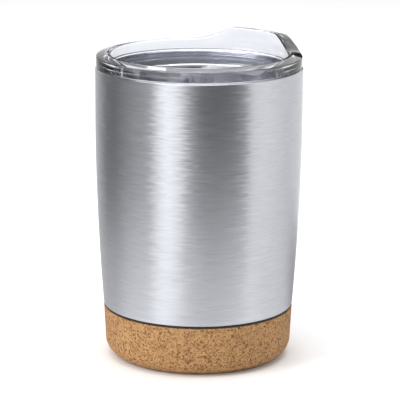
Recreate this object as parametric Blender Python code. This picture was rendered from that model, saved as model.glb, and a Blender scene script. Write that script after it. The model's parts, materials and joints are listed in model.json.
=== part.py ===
"""Double-walled steel travel cup with a glued cork base and a clear press-in lid.

Frame: metres, +Z up, origin at the centre of the cork's flat bottom, +X towards the lid's raised drinking lip.
"""

import math

import bmesh
import bpy

MM = 0.001

# Driving dimensions of the body
BODY_RADIUS = 42.5 * MM
RIM_HEIGHT = 121.2 * MM
JOINT_HEIGHT = 21.6 * MM
WAIST_RADIUS = 39.3 * MM
TAPER_TOP = 100.0 * MM
TAPER_POWER = 1.88
SHELL_SHEET = 0.6 * MM
LINER_SHEET = 0.5 * MM
MOUTH_RADIUS = 39.4 * MM
LINER_FOOT_RADIUS = 33.8 * MM
LINER_FLOOR = 15.0 * MM
LINER_CORNER = 9.0 * MM
LIP_SEAM_RADIUS = 41.0 * MM
LIP_SEAM_GAP = 0.3 * MM
SHELL_LIP_ROUND = 0.9 * MM
LINER_LIP_ROUND = 0.7 * MM
NECK_RADIUS = 36.3 * MM
NECK_FOOT = 6.2 * MM
CLEARANCE = 0.3 * MM

# Driving dimensions of the base
CORK_TOP = 21.1 * MM
CORK_FOOT_RADIUS = 38.6 * MM
CORK_EDGE = 7.4 * MM
CORK_FLOOR = 4.6 * MM
PAN_FACE = 6.0 * MM
PAN_BEND = 1.5 * MM
PAN_FLANGE = 4.0 * MM
PAN_DIMPLE = 7.5 * MM
PAN_DIMPLE_FOOT_RADIUS = 6.5 * MM
PAN_DIMPLE_RADIUS = 5.0 * MM
PAN_HOLE_RADIUS = 0.8 * MM
GETTER_AT = 18.0 * MM
GETTER_RADIUS = 4.0 * MM
GETTER_HEIGHT = 2.2 * MM
STRAP_SHEET = 0.4 * MM
STRAP_WIDTH = 5.0 * MM
ADHESIVE_INNER_RADIUS = 10.0 * MM
ADHESIVE_OUTER_RADIUS = 32.0 * MM

# Driving dimensions of the lid
LID_RADIUS = 42.1 * MM
LID_SEAT = RIM_HEIGHT + CLEARANCE
LID_TOP = 126.8 * MM
LIP_RISE = 5.2 * MM
LIP_FLAT_DEG = 18.0
LIP_FOOT_DEG = 45.0
LID_WALL_TOP_RADIUS = 36.1 * MM
LID_WALL_FOOT_RADIUS = 35.4 * MM
FACET_DEG = 13.5
RIM_INNER_ROUND = 0.9 * MM
RIM_BROW_AT = 38.0 * MM
RIM_BROW_ROUND = 1.5 * MM
RIM_BEVEL_DEG = 14.0
RIM_EDGE_ROUND = 0.5 * MM
LID_FLOOR = 116.2 * MM
LID_FLOOR_SHEET = 1.8 * MM
PLUG_RADIUS = 38.6 * MM
GROOVE_RADIUS = 37.5 * MM
GROOVE_FOOT = 115.4 * MM
GROOVE_TOP = 119.6 * MM

# Driving dimensions of the slide closure
SLIDER_END = 33.3 * MM
SLIDER_TAIL = -2.0 * MM
SLIDER_END_HALF_WIDTH = 8.0 * MM
SLIDER_RIDGE_HALF_WIDTH = 6.4 * MM
SLIDER_RIDGE = 12.8 * MM
SLIDER_TRAVEL = 10.0 * MM
STEM_REAR = 8.6 * MM
STEM_LENGTH = 4.0 * MM
STEM_HALF_WIDTH = 1.6 * MM
STEM_FOOT = 111.8 * MM
STEM_BARB = 0.8 * MM
KNOB_NEAR = 4.6 * MM
KNOB_FAR = 8.6 * MM
KNOB_HALF_WIDTH = 3.8 * MM
KNOB_TOP = 119.8 * MM
CLIP_REACH = 4.0 * MM
CLIP_HALF_WIDTH = 5.0 * MM
CLIP_CORNER = 2.0 * MM
CLIP_SHEET = 1.2 * MM

# Driving dimensions of the drinking hole
HOLE_NEAR = 25.4 * MM
HOLE_FAR = 32.4 * MM
HOLE_HALF_WIDTH = 6.8 * MM
HOLE_CORNER = 2.6 * MM
VENT_AT = -27.0 * MM
VENT_RADIUS = 1.0 * MM

ROUND_STEPS = 64
LID_STEPS = 80


def material(name, colour, roughness, metallic=0.0, transmission=0.0):
    """A Principled material with the piece's own colour and finish."""
    made = bpy.data.materials.new(name)
    made.use_nodes = True
    shader = made.node_tree.nodes["Principled BSDF"]
    shader.inputs["Base Color"].default_value = (*colour, 1.0)
    shader.inputs["Roughness"].default_value = roughness
    shader.inputs["Metallic"].default_value = metallic
    shader.inputs["Transmission Weight"].default_value = transmission
    made.diffuse_color = (*colour, 1.0)
    return made


def arc(centre, radius, start_deg, end_deg, steps):
    """Points on a round stretch of an outline, as (radius, height) pairs."""
    points = []
    for i in range(steps + 1):
        angle = math.radians(start_deg + (end_deg - start_deg) * i / steps)
        points.append((centre[0] + radius * math.cos(angle), centre[1] + radius * math.sin(angle)))
    return points


def sheet(path, thickness):
    """The closed outline of sheet metal that follows a path, to its left if thickness is positive."""
    back = []
    last = len(path) - 1
    for i, (r, z) in enumerate(path):
        before = path[max(i - 1, 0)]
        after = path[min(i + 1, last)]
        normals = []
        for (r0, z0), (r1, z1) in ((before, (r, z)), ((r, z), after)):
            length = math.hypot(r1 - r0, z1 - z0)
            if length > 0:
                normals.append((-(z1 - z0) / length, (r1 - r0) / length))
        nr = sum(n[0] for n in normals)
        nz = sum(n[1] for n in normals)
        size = math.hypot(nr, nz)
        mitre = len(normals) / size
        back.append((r + thickness * mitre * nr / size, z + thickness * mitre * nz / size))
    return path + back[::-1]


def finished(name, bm, finish):
    """Turns a bmesh into a named object at the origin, shaded smooth except over its edges."""
    mesh = bpy.data.meshes.new(name)
    bmesh.ops.recalc_face_normals(bm, faces=bm.faces)
    bm.to_mesh(mesh)
    bm.free()
    mesh.shade_smooth()
    mesh.set_sharp_from_angle(angle=math.radians(35))
    mesh.materials.append(finish)
    made = bpy.data.objects.new(name, mesh)
    bpy.context.scene.collection.objects.link(made)
    return made


def turned(name, outline, finish, steps=ROUND_STEPS):
    """A solid of revolution about Z. The outline is closed, or starts and ends on the axis."""
    bm = bmesh.new()
    verts = [bm.verts.new((r, 0.0, z)) for r, z in outline]
    edges = [bm.edges.new(pair) for pair in zip(verts, verts[1:])]
    if outline[0][0] > 0 or outline[-1][0] > 0:
        edges.append(bm.edges.new((verts[-1], verts[0])))
    bmesh.ops.spin(
        bm, geom=verts + edges, cent=(0, 0, 0), axis=(0, 0, 1), angle=math.tau, steps=steps
    )
    bmesh.ops.remove_doubles(bm, verts=bm.verts, dist=1e-6)
    return finished(name, bm, finish)


def swept(name, section, finish, steps):
    """A closed solid round Z, whose section changes with the angle: section(degrees) gives the outline there."""
    bm = bmesh.new()
    columns = []
    for i in range(steps):
        degrees = 360.0 * i / steps
        angle = math.radians(degrees)
        outline = section(degrees if degrees <= 180 else degrees - 360)
        columns.append(
            [bm.verts.new((r * math.cos(angle), r * math.sin(angle), z)) for r, z in outline]
        )
    for column, after in zip(columns, columns[1:] + columns[:1]):
        for i in range(len(column) - 1):
            bm.faces.new((column[i], after[i], after[i + 1], column[i + 1]))
    bmesh.ops.remove_doubles(bm, verts=bm.verts, dist=1e-6)
    return finished(name, bm, finish)


def block(name, low, high, finish, bevel=0.0):
    """A box between two corners, with its edges bevelled."""
    bm = bmesh.new()
    bmesh.ops.create_cube(bm, size=1.0)
    for vert in bm.verts:
        vert.co = [low[k] + (vert.co[k] + 0.5) * (high[k] - low[k]) for k in range(3)]
    if bevel:
        bmesh.ops.bevel(bm, geom=bm.edges[:], offset=bevel, segments=2, affect="EDGES", profile=0.5)
    return finished(name, bm, finish)


def prism(name, outline, low, high, finish):
    """A solid between two heights, whose plan is the outline's (x, y) points."""
    bm = bmesh.new()
    face = bm.faces.new([bm.verts.new((x, y, low)) for x, y in outline])
    raised = bmesh.ops.extrude_face_region(bm, geom=[face])
    top = [item for item in raised["geom"] if isinstance(item, bmesh.types.BMVert)]
    bmesh.ops.translate(bm, verts=top, vec=(0, 0, high - low))
    return finished(name, bm, finish)


def rounded_plan(low, high, radius, steps=5):
    """A rectangle's (x, y) outline with round corners."""
    points = []
    corners = ((high, high, 0), (low, high, 90), (low, low, 180), (high, low, 270))
    for x_side, y_side, start in corners:
        x = x_side[0] - math.copysign(radius, 1 if x_side is high else -1)
        y = y_side[1] - math.copysign(radius, 1 if y_side is high else -1)
        points += arc((x, y), radius, start, start + 90, steps)
    return points


def combine(target, tool, operation):
    """Cuts the target with the tool, or joins the tool to it."""
    tool.hide_render = True
    tool.display_type = "WIRE"
    modifier = target.modifiers.new(f"{operation} {tool.name}", "BOOLEAN")
    modifier.operation = operation
    modifier.object = tool


def shell_radius(height):
    """The outer shell's radius: straight at the top, drawn in slowly towards the cork."""
    drop = max(0.0, TAPER_TOP - height) / (TAPER_TOP - JOINT_HEIGHT)
    return BODY_RADIUS - (BODY_RADIUS - WAIST_RADIUS) * drop**TAPER_POWER


def make_outer_shell(steel):
    """The drawn outer wall, from its rolled lip to the neck that stands in the cork."""
    crown = (BODY_RADIUS - SHELL_LIP_ROUND, RIM_HEIGHT - SHELL_LIP_ROUND)
    path = [(LIP_SEAM_RADIUS + LIP_SEAM_GAP / 2, RIM_HEIGHT), *arc(crown, SHELL_LIP_ROUND, 90, 0, 4)]
    shoulder_round = 0.8 * MM
    rows = 9
    for i in range(rows + 1):
        height = TAPER_TOP - (TAPER_TOP - JOINT_HEIGHT - shoulder_round) * i / rows
        path.append((shell_radius(height), height))
    shoulder = (WAIST_RADIUS - shoulder_round, JOINT_HEIGHT + shoulder_round)
    path += arc(shoulder, shoulder_round, 0, -90, 3)[1:]
    path += [(NECK_RADIUS, JOINT_HEIGHT), (NECK_RADIUS, NECK_FOOT)]
    return turned("outer_shell", sheet(path, -SHELL_SHEET), steel)


def make_inner_liner(steel):
    """The deep-drawn liner that holds the drink, from its rolled lip to its flat floor."""
    crown = (MOUTH_RADIUS + LINER_LIP_ROUND, RIM_HEIGHT - LINER_LIP_ROUND)
    path = [(LIP_SEAM_RADIUS - LIP_SEAM_GAP / 2, RIM_HEIGHT), *arc(crown, LINER_LIP_ROUND, 90, 180, 4)]
    corner = (LINER_FOOT_RADIUS - LINER_CORNER, LINER_FLOOR + LINER_CORNER)
    path += arc(corner, LINER_CORNER, 0, -90, 6)
    path.append((0.0, LINER_FLOOR))
    return turned("inner_liner", sheet(path, LINER_SHEET), steel)


def make_base_pan(steel):
    """The pressed disc that closes the shell, with a dimple round the hole that the air is drawn out of."""
    rim = NECK_RADIUS - SHELL_SHEET - CLEARANCE
    path = [(rim, PAN_FACE + PAN_FLANGE)]
    path += arc((rim - PAN_BEND, PAN_FACE + PAN_BEND), PAN_BEND, 0, -90, 3)
    path += [(PAN_DIMPLE_FOOT_RADIUS, PAN_FACE), (PAN_DIMPLE_RADIUS, PAN_DIMPLE), (PAN_HOLE_RADIUS, PAN_DIMPLE)]
    return turned("base_pan", sheet(path, -SHELL_SHEET), steel, 48)


def make_seal_bead(glass):
    """The bead of solder glass that closes the pan's hole."""
    top = PAN_DIMPLE - CLEARANCE
    outline = [(0.0, top), (3.6 * MM, top), (4.0 * MM, top - 0.4 * MM), (3.0 * MM, top - 0.9 * MM)]
    outline.append((0.0, top - 1.1 * MM))
    return turned("vacuum_seal_bead", outline, glass, 24)


def make_getter(steel, powder):
    """The getter pill, and the bent strap that holds it to the pan inside the vacuum."""
    floor = PAN_FACE + SHELL_SHEET + CLEARANCE
    low = floor + CLEARANCE
    high = low + GETTER_HEIGHT
    outline = [(0.0, low), (GETTER_RADIUS, low), (GETTER_RADIUS, high), (0.0, high)]
    pill = turned("getter_pill", outline, powder, 32)
    pill.location.x = GETTER_AT
    crown = high + CLEARANCE
    half = [(9.5 * MM, floor), (5.4 * MM, floor), (4.6 * MM, crown)]
    path = [(GETTER_AT + x, z) for x, z in half] + [(GETTER_AT - x, z) for x, z in reversed(half)]
    strip = sheet(path, -STRAP_SHEET)
    bm = bmesh.new()
    face = bm.faces.new([bm.verts.new((x, -STRAP_WIDTH / 2, z)) for x, z in strip])
    moved = bmesh.ops.extrude_face_region(bm, geom=[face])
    far = [item for item in moved["geom"] if isinstance(item, bmesh.types.BMVert)]
    bmesh.ops.translate(bm, verts=far, vec=(0, STRAP_WIDTH, 0))
    return pill, finished("getter_strap", bm, steel)


def make_base_gasket(rubber):
    """The thin dark ring in the groove between the steel's shoulder and the cork."""
    gap = 0.1 * MM
    low, high = CORK_TOP + gap, JOINT_HEIGHT - gap
    inner, outer = NECK_RADIUS + CLEARANCE, WAIST_RADIUS - 0.8 * MM
    outline = [(inner, low), (outer, low), (outer, high), (inner, high)]
    return turned("base_gasket", outline, rubber)


def make_cork_base(cork):
    """The turned cork cup under the body, with its well rounded foot and the pocket for the neck."""
    pocket = NECK_RADIUS + CLEARANCE
    break_edge = 0.25 * MM
    outline = [(pocket, CORK_TOP), (WAIST_RADIUS - break_edge, CORK_TOP)]
    outline.append((WAIST_RADIUS, CORK_TOP - break_edge))
    outline += arc((CORK_FOOT_RADIUS - CORK_EDGE, CORK_EDGE), CORK_EDGE, 0, -90, 7)
    outline += [(0.0, 0.0), (0.0, CORK_FLOOR)]
    corner = 1.2 * MM
    outline += arc((pocket - corner, CORK_FLOOR + corner), corner, -90, 0, 3)
    outline = outline[-5:] + outline[:-5]
    return turned("cork_base", outline, cork)


def make_cork_adhesive(tape):
    """The ring-shaped adhesive pad between the cork's pocket floor and the pan."""
    low, high = CORK_FLOOR + CLEARANCE, PAN_FACE - CLEARANCE
    inner, outer = ADHESIVE_INNER_RADIUS, ADHESIVE_OUTER_RADIUS
    outline = [(inner, low), (outer, low), (outer, high), (inner, high)]
    return turned("cork_adhesive_pad", outline, tape)


def lip_height(degrees):
    """The height of the lid's rim at an angle from the drinking lip's middle."""
    share = (LIP_FOOT_DEG - abs(degrees)) / (LIP_FOOT_DEG - LIP_FLAT_DEG)
    share = min(max(share, 0.0), 1.0)
    turn = 0.75 * math.pi
    return LID_TOP + LIP_RISE * (1 - math.cos(turn * share)) / (1 - math.cos(turn))


def flattened(radius, degrees):
    """A radius of the lid's inner wall, which is flat behind the drinking lip."""
    if abs(degrees) > FACET_DEG:
        return radius
    return radius * math.cos(math.radians(FACET_DEG)) / math.cos(math.radians(degrees))


def rim_bevel(top):
    """The sloping top of the lid's rim: a soft brow, a bevel that falls outwards, and a crisp outer edge."""
    brow = arc((RIM_BROW_AT, top - RIM_BROW_ROUND), RIM_BROW_ROUND, 90, 90 - RIM_BEVEL_DEG, 2)
    slope = math.radians(RIM_BEVEL_DEG)
    end_radius = LID_RADIUS - RIM_EDGE_ROUND * (1 - math.sin(slope))
    end_height = brow[-1][1] - (end_radius - brow[-1][0]) * math.tan(slope)
    edge = (LID_RADIUS - RIM_EDGE_ROUND, end_height - RIM_EDGE_ROUND * math.cos(slope))
    return brow + arc(edge, RIM_EDGE_ROUND, 90 - RIM_BEVEL_DEG, 0, 3)


def lid_section(degrees):
    """Half of the lid's section, from the axis along its upper side, round its rim and back below."""
    top = lip_height(degrees)
    foot = flattened(LID_WALL_FOOT_RADIUS, degrees)
    crest = flattened(LID_WALL_TOP_RADIUS, degrees)
    fillet, seat_edge, lead_in = 0.8 * MM, 0.3 * MM, 0.8 * MM
    underside = LID_FLOOR - LID_FLOOR_SHEET
    points = [(0.0, LID_FLOOR)]
    points += arc((foot - fillet, LID_FLOOR + fillet), fillet, -90, 0, 3)
    points += arc((crest + RIM_INNER_ROUND, top - RIM_INNER_ROUND), RIM_INNER_ROUND, 180, 90, 3)
    points += rim_bevel(top)
    points += [(LID_RADIUS, LID_SEAT + seat_edge), (LID_RADIUS - seat_edge, LID_SEAT)]
    points += [(PLUG_RADIUS, LID_SEAT), (PLUG_RADIUS, GROOVE_TOP)]
    points += [(GROOVE_RADIUS, GROOVE_TOP), (GROOVE_RADIUS, GROOVE_FOOT)]
    points += [(PLUG_RADIUS, GROOVE_FOOT), (PLUG_RADIUS - lead_in, underside), (0.0, underside)]
    return points


def make_lid_body(clear):
    """The clear moulding: rim with the raised lip, well, floor, plug and the groove for its seal."""
    lid = swept("lid_body", lid_section, clear, LID_STEPS)
    low, high = LID_FLOOR - 4 * MM, LID_FLOOR + 4 * MM
    mouth = rounded_plan(
        (HOLE_NEAR, -HOLE_HALF_WIDTH), (HOLE_FAR, HOLE_HALF_WIDTH), HOLE_CORNER
    )
    combine(lid, prism("drink_hole_cutter", mouth, low, high, clear), "DIFFERENCE")
    slot_rear = STEM_REAR - SLIDER_TRAVEL - CLEARANCE
    slot_front = STEM_REAR + STEM_LENGTH + CLEARANCE
    slot_side = STEM_HALF_WIDTH + CLEARANCE
    slot = rounded_plan((slot_rear, -slot_side), (slot_front, slot_side), 0.4 * MM, 2)
    combine(lid, prism("slot_cutter", slot, low, high, clear), "DIFFERENCE")
    vent_outline = [(0.0, low), (VENT_RADIUS, low), (VENT_RADIUS, high), (0.0, high)]
    vent = turned("vent_cutter", vent_outline, clear, 16)
    vent.location.x = VENT_AT
    combine(lid, vent, "DIFFERENCE")
    return lid


def make_lid_seal(silicone):
    """The silicone ring in the plug's groove, with two lips that press on the liner."""
    bore = GROOVE_RADIUS + 0.2 * MM
    tip = MOUTH_RADIUS - CLEARANCE
    web = bore + 0.5 * MM
    foot, top = GROOVE_FOOT + CLEARANCE, GROOVE_TOP - CLEARANCE
    outline = [(bore, foot), (web, foot), (tip, foot + 0.5 * MM), (tip, foot + 0.9 * MM)]
    outline += [(web, foot + 1.2 * MM), (web, top - 1.3 * MM), (tip, top - 1.0 * MM)]
    outline += [(tip, top - 0.6 * MM), (web, top - 0.1 * MM), (web - 0.1 * MM, top), (bore, top)]
    return turned("lid_seal", outline, silicone)


def slider_top(x):
    """The height of the slide closure's upper side: a ramp up to the thumb ridge, then a thumb hollow."""
    end, ridge, hollow, tail = 117.4 * MM, 119.2 * MM, 118.0 * MM, 117.6 * MM
    hollow_at = SLIDER_RIDGE - 2.6 * MM
    if x >= SLIDER_RIDGE:
        return ridge + (end - ridge) * (x - SLIDER_RIDGE) / (SLIDER_END - SLIDER_RIDGE)
    if x >= hollow_at:
        share = (SLIDER_RIDGE - x) / (SLIDER_RIDGE - hollow_at)
        return hollow + (ridge - hollow) * (0.5 + 0.5 * math.cos(math.pi * share))
    return tail + (hollow - tail) * (x - SLIDER_TAIL) / (hollow_at - SLIDER_TAIL)


def slider_half_width(x):
    """Half the closure's width: widest at the drinking hole, round at the tail."""
    if x >= SLIDER_RIDGE:
        share = (x - SLIDER_RIDGE) / (SLIDER_END - SLIDER_RIDGE)
        return SLIDER_RIDGE_HALF_WIDTH + (SLIDER_END_HALF_WIDTH - SLIDER_RIDGE_HALF_WIDTH) * share
    corner = 4.0 * MM
    inset = max(0.0, SLIDER_TAIL + corner - x)
    return SLIDER_RIDGE_HALF_WIDTH - corner + math.sqrt(max(corner**2 - inset**2, 0.0))


def make_slider(clear):
    """The slide closure: a plate over the drinking hole, a thumb knob, and a stem through the lid's slot."""
    floor = LID_FLOOR + CLEARANCE
    chamfer = 0.4 * MM
    stations = [SLIDER_TAIL + x * MM for x in (0.0, 0.5, 1.5, 3.0, 4.0)]
    stations += [SLIDER_RIDGE + x * MM for x in (-2.6, -2.0, -1.3, -0.6, 0.0)]
    stations += [SLIDER_RIDGE + 0.6 * MM, SLIDER_END - chamfer, SLIDER_END]
    bm = bmesh.new()
    loops = []
    for x in stations:
        side, top = slider_half_width(x), slider_top(x)
        if x == SLIDER_END:
            top -= chamfer
        outline = [(-side, floor), (side, floor), (side, top - chamfer), (side - chamfer, top)]
        outline += [(chamfer - side, top), (-side, top - chamfer)]
        loops.append([bm.verts.new((x, y, z)) for y, z in outline])
    for here, there in zip(loops, loops[1:]):
        for i in range(len(here)):
            j = (i + 1) % len(here)
            bm.faces.new((here[i], here[j], there[j], there[i]))
    bm.faces.new(loops[0])
    bm.faces.new(loops[-1])
    slider = finished("slider", bm, clear)
    knob = block(
        "slider_knob_tool",
        (KNOB_NEAR, -KNOB_HALF_WIDTH, floor + 0.2 * MM),
        (KNOB_FAR, KNOB_HALF_WIDTH, KNOB_TOP),
        clear,
        0.7 * MM,
    )
    combine(slider, knob, "UNION")
    stem = block(
        "slider_stem_tool",
        (STEM_REAR, -STEM_HALF_WIDTH, STEM_FOOT),
        (STEM_REAR + STEM_LENGTH, STEM_HALF_WIDTH, floor + 0.6 * MM),
        clear,
        0.2 * MM,
    )
    combine(slider, stem, "UNION")
    barb_side = STEM_HALF_WIDTH + STEM_BARB
    barb = block(
        "slider_barb_tool",
        (STEM_REAR + 0.6 * MM, -barb_side, STEM_FOOT - 0.4 * MM),
        (STEM_REAR + STEM_LENGTH - 0.6 * MM, barb_side, STEM_FOOT + 0.6 * MM),
        clear,
        0.2 * MM,
    )
    combine(slider, barb, "UNION")
    return slider


def make_slider_clip(clear):
    """The plate under the lid's floor that is pressed on the stem and keeps the slider in its slot."""
    top = LID_FLOOR - LID_FLOOR_SHEET - CLEARANCE
    low = (STEM_REAR - CLIP_REACH, -CLIP_HALF_WIDTH)
    high = (STEM_REAR + STEM_LENGTH + CLIP_REACH, CLIP_HALF_WIDTH)
    clip = prism("slider_clip", rounded_plan(low, high, CLIP_CORNER), top - CLIP_SHEET, top, clear)
    socket = block(
        "socket_cutter",
        (STEM_REAR - CLEARANCE, -STEM_HALF_WIDTH - CLEARANCE, top - 5 * MM),
        (STEM_REAR + STEM_LENGTH + CLEARANCE, STEM_HALF_WIDTH + CLEARANCE, top + 5 * MM),
        clear,
    )
    combine(clip, socket, "DIFFERENCE")
    return clip


def group(name, pieces, location=(0, 0, 0)):
    """Parents the pieces that move together to one empty, which stands on their joint's axis."""
    holder = bpy.data.objects.new(name, None)
    holder.location = location
    bpy.context.scene.collection.objects.link(holder)
    for piece in pieces:
        piece.parent = holder
        piece.location = [a - b for a, b in zip(piece.location, location)]
    return holder


def main():
    for old in list(bpy.data.objects):
        bpy.data.objects.remove(old)
    brushed = material("brushed_steel", (0.62, 0.62, 0.64), 0.32, 1.0)
    satin = material("satin_steel", (0.58, 0.58, 0.60), 0.28, 1.0)
    cork = material("cork", (0.60, 0.38, 0.19), 0.85)
    rubber = material("dark_rubber", (0.03, 0.025, 0.02), 0.7)
    tape = material("adhesive_pad", (0.75, 0.72, 0.62), 0.8)
    clear = material("clear_plastic", (0.95, 0.96, 0.97), 0.04, 0.0, 1.0)
    silicone = material("clear_silicone", (0.88, 0.90, 0.92), 0.35, 0.0, 0.6)
    solder_glass = material("solder_glass", (0.10, 0.09, 0.08), 0.25)
    powder = material("getter_powder", (0.25, 0.25, 0.26), 0.75)

    group(
        "cup",
        [
            make_outer_shell(brushed),
            make_inner_liner(satin),
            make_base_pan(satin),
            make_seal_bead(solder_glass),
            *make_getter(satin, powder),
            make_base_gasket(rubber),
            make_cork_base(cork),
            make_cork_adhesive(tape),
        ],
    )
    lift = group("lid_lift", [make_lid_seal(silicone)])
    lid = group("lid_turn", [make_lid_body(clear)])
    lid.parent = lift
    closure = group("slide_closure", [make_slider(clear), make_slider_clip(clear)])
    closure.parent = lid


main()
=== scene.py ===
"""Builds the finished look of a double-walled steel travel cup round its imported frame.

Everything is in metres, in the frame's own axes: +Z up, +X towards the lid's drinking lip.
"""

import json
import math

import bmesh
import bpy
from mathutils import Matrix, Vector

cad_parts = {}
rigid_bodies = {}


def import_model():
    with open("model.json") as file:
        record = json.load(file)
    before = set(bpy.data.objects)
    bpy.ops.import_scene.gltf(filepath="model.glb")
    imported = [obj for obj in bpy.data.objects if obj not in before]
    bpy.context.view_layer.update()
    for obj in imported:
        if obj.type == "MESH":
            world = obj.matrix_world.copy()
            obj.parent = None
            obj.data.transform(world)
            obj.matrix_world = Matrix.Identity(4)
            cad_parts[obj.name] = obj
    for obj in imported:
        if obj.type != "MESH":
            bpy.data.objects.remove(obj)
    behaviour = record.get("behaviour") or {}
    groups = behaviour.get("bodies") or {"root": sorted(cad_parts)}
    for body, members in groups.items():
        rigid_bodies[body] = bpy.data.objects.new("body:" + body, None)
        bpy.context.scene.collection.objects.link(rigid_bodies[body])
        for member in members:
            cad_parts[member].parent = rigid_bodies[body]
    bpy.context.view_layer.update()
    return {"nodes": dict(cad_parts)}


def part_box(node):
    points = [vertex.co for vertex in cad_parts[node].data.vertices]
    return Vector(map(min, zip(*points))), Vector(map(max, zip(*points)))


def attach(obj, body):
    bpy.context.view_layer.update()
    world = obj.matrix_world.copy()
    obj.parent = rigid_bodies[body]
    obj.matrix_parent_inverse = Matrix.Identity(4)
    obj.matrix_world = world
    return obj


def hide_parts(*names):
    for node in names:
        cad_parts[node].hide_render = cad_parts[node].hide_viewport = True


bl_info = {
    "name": "Steel and Cork Travel Cup",
    "version": (1, 0, 0),
    "blender": (4, 5, 0),
    "location": "View3D > Sidebar > Travel Cup",
    "description": "Builds a brushed steel travel cup with a cork base and a clear slide lid",
    "category": "Add Mesh",
}

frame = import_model()

MM = 0.001
STEPS_AROUND = 288
CORK_STEPS = 400
LID_STEPS = 360
SEAM_MERGE = 0.002 * MM
POINT_MERGE = 0.001 * MM

# Places that the frame gives
SHELL_LOW, SHELL_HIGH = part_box("outer_shell")
LINER_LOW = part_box("inner_liner")[0]
CORK_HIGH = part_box("cork_base")[1]
GASKET_LOW, GASKET_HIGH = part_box("base_gasket")
LID_LOW, LID_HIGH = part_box("lid_body")
SEAL_LOW, SEAL_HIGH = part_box("lid_seal")
SLIDER_LOW, SLIDER_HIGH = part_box("slider")
CUP_RADIUS = SHELL_HIGH.x
LID_RADIUS = -LID_LOW.x
RIM = SHELL_HIGH.z
SHOULDER = GASKET_HIGH.z + 0.1 * MM

# Sheet metal of the cup
SHELL_SHEET = 0.6 * MM
SHELL_SEAM_RADIUS = 41.0 * MM
SHELL_LIP_ROUND = 0.9 * MM
SHOULDER_ROUND = 0.8 * MM
NECK_RADIUS = 36.3 * MM
NECK_BEND = 0.4 * MM
LINER_SHEET = 0.5 * MM
LINER_SEAM_RADIUS = 40.98 * MM
LINER_LIP_ROUND = 0.7 * MM
LINER_FOOT_RADIUS = 33.8 * MM
LINER_CORNER = 9.0 * MM
MOUTH_RADIUS = 39.4 * MM

# Cork base
CORK_FOOT_RADIUS = 38.6 * MM
CORK_EDGE = 7.4 * MM
CORK_TOP_EDGE = 0.25 * MM
CORK_FLOOR = 4.6 * MM
POCKET_RADIUS = 36.6 * MM
POCKET_CORNER = 1.2 * MM
PORE_DEPTH = 0.10 * MM
PORE_SCALE = 1500.0
SEAM_EASE = 0.3 * MM
RING_WIDTH = 1.9 * MM
RING_INSET = 0.35 * MM
RING_EDGE = 0.3 * MM

# Lid moulding; the bevel is in degrees
LID_SEAT = RIM + 0.3 * MM
LID_FLOOR = 116.2 * MM
WALL_FOOT_RADIUS = 35.4 * MM
WALL_TOP_RADIUS = 36.1 * MM
WALL_FILLET = 0.8 * MM
RIM_INNER_ROUND = 0.9 * MM
RIM_BROW_AT = 38.0 * MM
RIM_BROW_ROUND = 1.5 * MM
RIM_BEVEL = 14.0
RIM_EDGE_ROUND = 0.5 * MM
SEAT_EDGE = 0.3 * MM
PLUG_RADIUS = 38.6 * MM
PLUG_LEAD_IN = 0.8 * MM
GROOVE_RADIUS = 37.5 * MM
GROOVE_LOW, GROOVE_HIGH = 115.4 * MM, 119.6 * MM

# Holes through the lid's floor, each as two opposite corners and the corner radius
HOLE_CHAMFER = 0.35 * MM
DRINKING_HOLE = ((25.4 * MM, -6.8 * MM), (32.4 * MM, 6.8 * MM), 2.6 * MM)
SLIDER_SLOT = ((-1.7 * MM, -1.9 * MM), (12.9 * MM, 1.9 * MM), 0.6 * MM)
AIR_VENT = ((-28.0 * MM, -1.0 * MM), (-26.0 * MM, 1.0 * MM), 0.999 * MM)

# Lid seal
SEAL_BORE = 37.7 * MM
SEAL_TIP = 39.1 * MM
SEAL_WEB = 0.5 * MM
SEAL_LIP_ROUND = 0.25 * MM
SEAL_LIP_INSET = 0.75 * MM
SEAL_LIP_DEPTH = 1.4 * MM

# Slide closure
SLIDER_FLOOR = 116.5 * MM
SLIDER_EDGE = 0.45 * MM
SLIDER_HALF_WIDTH = 6.4 * MM
TAIL_CORNER = 4.0 * MM
RIDGE_AT, HOLLOW_AT = 12.8 * MM, 10.2 * MM
END_TOP, RIDGE_TOP, HOLLOW_TOP, TAIL_TOP = 117.4 * MM, 119.2 * MM, 118.0 * MM, 117.6 * MM

# Blocks joined to the slide closure, each as two opposite corners and the edge radius
KNOB = ((4.6 * MM, -3.8 * MM, SLIDER_FLOOR + 0.2 * MM), (8.6 * MM, 3.8 * MM, SLIDER_HIGH.z), 0.9 * MM)
STEM = ((8.6 * MM, -1.6 * MM, 111.8 * MM), (12.6 * MM, 1.6 * MM, SLIDER_FLOOR + 0.6 * MM), 0.3 * MM)
BARB = ((9.2 * MM, -2.4 * MM, SLIDER_LOW.z), (12.0 * MM, 2.4 * MM, 112.4 * MM), 0.3 * MM)

# Plain finishes: colour, its spread, roughness, grain scale, grain depth and, for metal, how metallic
PRESSED_STEEL = ((0.56, 0.56, 0.58), 0.08, 0.32, 400.0, 0.01 * MM, 1.0)
GETTER_POWDER = ((0.22, 0.22, 0.23), 0.25, 0.8, 3000.0, 0.03 * MM)
SOLDER_GLASS = ((0.09, 0.08, 0.07), 0.2, 0.22, 900.0, 0.01 * MM)
ADHESIVE_PAD = ((0.74, 0.70, 0.58), 0.1, 0.85, 1200.0, 0.03 * MM)
DARK_RUBBER = ((0.030, 0.022, 0.017), 0.3, 0.6, 1500.0, 0.01 * MM)
PALE_FLOOR = ((0.96, 0.96, 0.96), 0.01, 0.9, 3.0, 0.0)

# Noise scales, per metre. A scale that is small across and large along Z draws lines round the cup
GRAIN_SCALE, FLECK_SCALE, WARP_SCALE, DUST_SCALE = 1300.0, 2200.0, 1500.0, 3200.0
SCRATCH_SCALES = (60, 60, 4200)
STROKE_SCALES = (120, 120, 1700)
SWAY_SCALES = (150, 150, 1500)
RIPPLE_SCALES = (90, 90, 60)
CLOUD_SCALE = 30.0

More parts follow.
